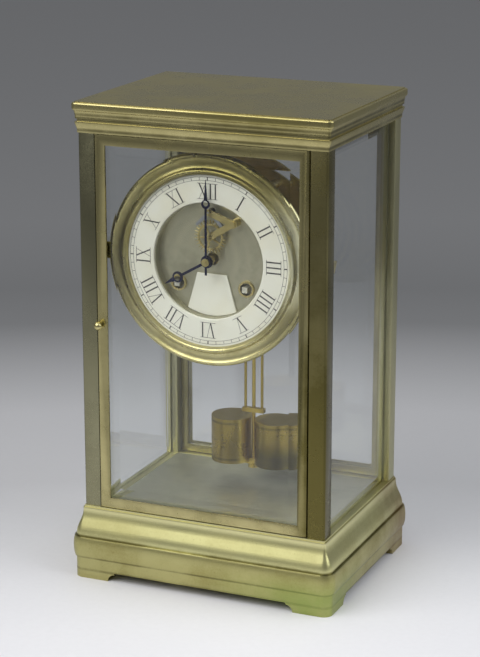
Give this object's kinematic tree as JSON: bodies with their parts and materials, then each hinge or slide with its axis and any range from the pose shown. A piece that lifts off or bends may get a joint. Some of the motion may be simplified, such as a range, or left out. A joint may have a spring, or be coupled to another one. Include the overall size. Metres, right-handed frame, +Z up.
{
  "type": "four glass clock",
  "caption": "Mantel clock in a moulded brass case with bevelled glass on every side, round enamel dial with open escapement, gong and swinging pendulum.",
  "frame": {"origin": "centre of the footprint, on the surface that the feet stand on", "axes": "+Z up, the dial and the front door face -Y, +X is the right side seen from the front"},
  "size_m": [0.1548, 0.1248, 0.265],
  "materials": {
    "base_brass": "cast and polished, lightly aged",
    "cornice_brass": "cast, aged",
    "post_brass": "drawn bar, darkened",
    "door_brass": "drawn section, darkened",
    "bright_brass": "turned and lacquered",
    "plate_brass": "flat, brushed",
    "floor_brass": "polished sheet",
    "steel": "turned steel",
    "blued_steel": "heat blued",
    "gong_steel": "dark blued spring steel",
    "enamel": "fired white enamel on a metal disc",
    "glass": "polished plate glass with bevelled edges"
  },
  "bodies": {
    "case": {"base_moulding": "base_brass", "bracket_feet": "base_brass", "floor_plate": "floor_brass", "post_front_left": "post_brass", "post_front_right": "post_brass", "post_rear_left": "post_brass", "post_rear_right": "post_brass", "cornice": "cornice_brass", "top_slab": "cornice_brass", "frame_bolts": "steel", "side_glass_left": "glass", "side_glass_right": "glass", "door_pivots": "steel", "bezel": "bright_brass", "dial_plate": "bright_brass", "chapter_ring": "enamel", "dial_cartouche": "enamel", "winding_collars": "bright_brass", "front_plate": "plate_brass", "back_plate": "plate_brass", "pillars": "bright_brass", "case_bracket_left": "post_brass", "case_bracket_right": "post_brass", "bracket_screws": "steel", "escapement_cock": "bright_brass", "escape_potence": "plate_brass", "suspension_cock": "plate_brass", "gong": "gong_steel", "gong_post": "plate_brass", "suspension_spring": "steel"},
    "front_door": {"front_door_frame": "door_brass", "front_door_glass": "glass"},
    "front_latch": {"front_latch": "bright_brass"},
    "rear_door": {"rear_door_frame": "door_brass", "rear_door_glass": "glass"},
    "rear_latch": {"rear_latch": "bright_brass"},
    "minute_arbor": {"centre_wheel": "plate_brass", "cannon_pinion": "steel", "minute_hand": "blued_steel", "hand_collet": "bright_brass"},
    "minute_wheel": {"minute_wheel": "plate_brass"},
    "hour_wheel": {"hour_wheel": "plate_brass", "hour_hand": "blued_steel"},
    "third_wheel": {"third_wheel": "plate_brass"},
    "escape_wheel": {"escape_wheel": "plate_brass"},
    "intermediate_wheel": {"intermediate_wheel": "plate_brass"},
    "going_barrel": {"going_barrel": "plate_brass"},
    "going_winder": {"going_winder": "steel"},
    "going_click": {"going_click": "steel"},
    "pallets": {"pallets": "steel", "crutch": "plate_brass"},
    "pendulum": {"pendulum_rod": "plate_brass", "pendulum_bob": "bright_brass"},
    "strike_barrel": {"strike_barrel": "plate_brass"},
    "strike_winder": {"strike_winder": "steel"},
    "strike_click": {"strike_click": "steel"},
    "pin_wheel": {"pin_wheel": "plate_brass"},
    "warning_wheel": {"warning_wheel": "plate_brass"},
    "fly": {"fly": "plate_brass"},
    "hammer": {"hammer": "steel"}
  },
  "joints": [
    {"name": "front_door_swing", "type": "hinge", "parent": "case", "child": "front_door", "pos_m": [0.0586, -0.0535, 0.145], "axis": [0, 0, 1], "range_deg": [0, 98]},
    {"name": "front_latch_turn", "type": "hinge", "parent": "front_door", "child": "front_latch", "pos_m": [-0.0591, -0.0505, 0.145], "axis": [0, -1, 0], "range_deg": [0, 90]},
    {"name": "rear_door_swing", "type": "hinge", "parent": "case", "child": "rear_door", "pos_m": [0.0586, 0.0535, 0.145], "axis": [0, 0, -1], "range_deg": [0, 98]},
    {"name": "rear_latch_turn", "type": "hinge", "parent": "rear_door", "child": "rear_latch", "pos_m": [-0.0591, 0.0505, 0.145], "axis": [0, -1, 0], "range_deg": [0, 90]},
    {"name": "minute_turn", "type": "hinge", "parent": "case", "child": "minute_arbor", "pos_m": [0, 0, 0.1835], "axis": [0, 1, 0], "continuous": true},
    {"name": "minute_wheel_turn", "type": "hinge", "parent": "case", "child": "minute_wheel", "pos_m": [0, 0, 0.1739], "axis": [0, 1, 0], "continuous": true},
    {"name": "hour_turn", "type": "hinge", "parent": "case", "child": "hour_wheel", "pos_m": [0, 0, 0.1835], "axis": [0, 1, 0], "continuous": true},
    {"name": "third_wheel_turn", "type": "hinge", "parent": "case", "child": "third_wheel", "pos_m": [-0.01626, 0, 0.19044], "axis": [0, 1, 0], "continuous": true},
    {"name": "escape_wheel_turn", "type": "hinge", "parent": "case", "child": "escape_wheel", "pos_m": [0, 0, 0.1959], "axis": [0, 1, 0], "continuous": true},
    {"name": "intermediate_wheel_turn", "type": "hinge", "parent": "case", "child": "intermediate_wheel", "pos_m": [0.0175, 0, 0.18769], "axis": [0, 1, 0], "continuous": true},
    {"name": "going_barrel_turn", "type": "hinge", "parent": "case", "child": "going_barrel", "pos_m": [0.0195, 0, 0.169], "axis": [0, 1, 0], "continuous": true},
    {"name": "going_winding", "type": "hinge", "parent": "case", "child": "going_winder", "pos_m": [0.0195, 0, 0.169], "axis": [0, 1, 0], "continuous": true},
    {"name": "going_click_lift", "type": "hinge", "parent": "case", "child": "going_click", "pos_m": [0.0287, -0.031, 0.177], "axis": [0, 1, 0], "range_deg": [-8, 0]},
    {"name": "pendulum_swing", "type": "hinge", "parent": "case", "child": "pendulum", "pos_m": [0, 0.017, 0.20952], "axis": [0, 1, 0], "range_deg": [-3, 3]},
    {"name": "pallets_rock", "type": "hinge", "parent": "case", "child": "pallets", "pos_m": [0, 0, 0.20952], "axis": [0, 1, 0], "range_deg": [-3, 3]},
    {"name": "strike_barrel_turn", "type": "hinge", "parent": "case", "child": "strike_barrel", "pos_m": [-0.0195, 0, 0.169], "axis": [0, 1, 0], "continuous": true},
    {"name": "strike_winding", "type": "hinge", "parent": "case", "child": "strike_winder", "pos_m": [-0.0195, 0, 0.169], "axis": [0, 1, 0], "continuous": true},
    {"name": "strike_click_lift", "type": "hinge", "parent": "case", "child": "strike_click", "pos_m": [-0.0287, -0.031, 0.177], "axis": [0, 1, 0], "range_deg": [0, 8]},
    {"name": "pin_wheel_turn", "type": "hinge", "parent": "case", "child": "pin_wheel", "pos_m": [-0.00183, 0, 0.16257], "axis": [0, 1, 0], "continuous": true},
    {"name": "warning_wheel_turn", "type": "hinge", "parent": "case", "child": "warning_wheel", "pos_m": [0.00497, 0, 0.15079], "axis": [0, 1, 0], "continuous": true},
    {"name": "fly_turn", "type": "hinge", "parent": "case", "child": "fly", "pos_m": [-0.00451, 0, 0.14734], "axis": [0, 1, 0], "continuous": true},
    {"name": "hammer_swing", "type": "hinge", "parent": "case", "child": "hammer", "pos_m": [-0.02, 0, 0.1485], "axis": [0, 1, 0], "range_deg": [-12, 0]}
  ],
  "couplings": [
    {"joint": "minute_wheel_turn", "follows": "minute_turn", "ratio": -0.33333},
    {"joint": "hour_turn", "follows": "minute_turn", "ratio": 0.083333},
    {"joint": "third_wheel_turn", "follows": "minute_turn", "ratio": -12},
    {"joint": "escape_wheel_turn", "follows": "minute_turn", "ratio": 156},
    {"joint": "intermediate_wheel_turn", "follows": "minute_turn", "ratio": -0.11111},
    {"joint": "going_barrel_turn", "follows": "minute_turn", "ratio": 0.013228},
    {"joint": "pallets_rock", "follows": "pendulum_swing", "ratio": 1},
    {"joint": "strike_barrel_turn", "follows": "pin_wheel_turn", "ratio": -0.11905},
    {"joint": "warning_wheel_turn", "follows": "pin_wheel_turn", "ratio": -7.5},
    {"joint": "fly_turn", "follows": "pin_wheel_turn", "ratio": 45}
  ]
}
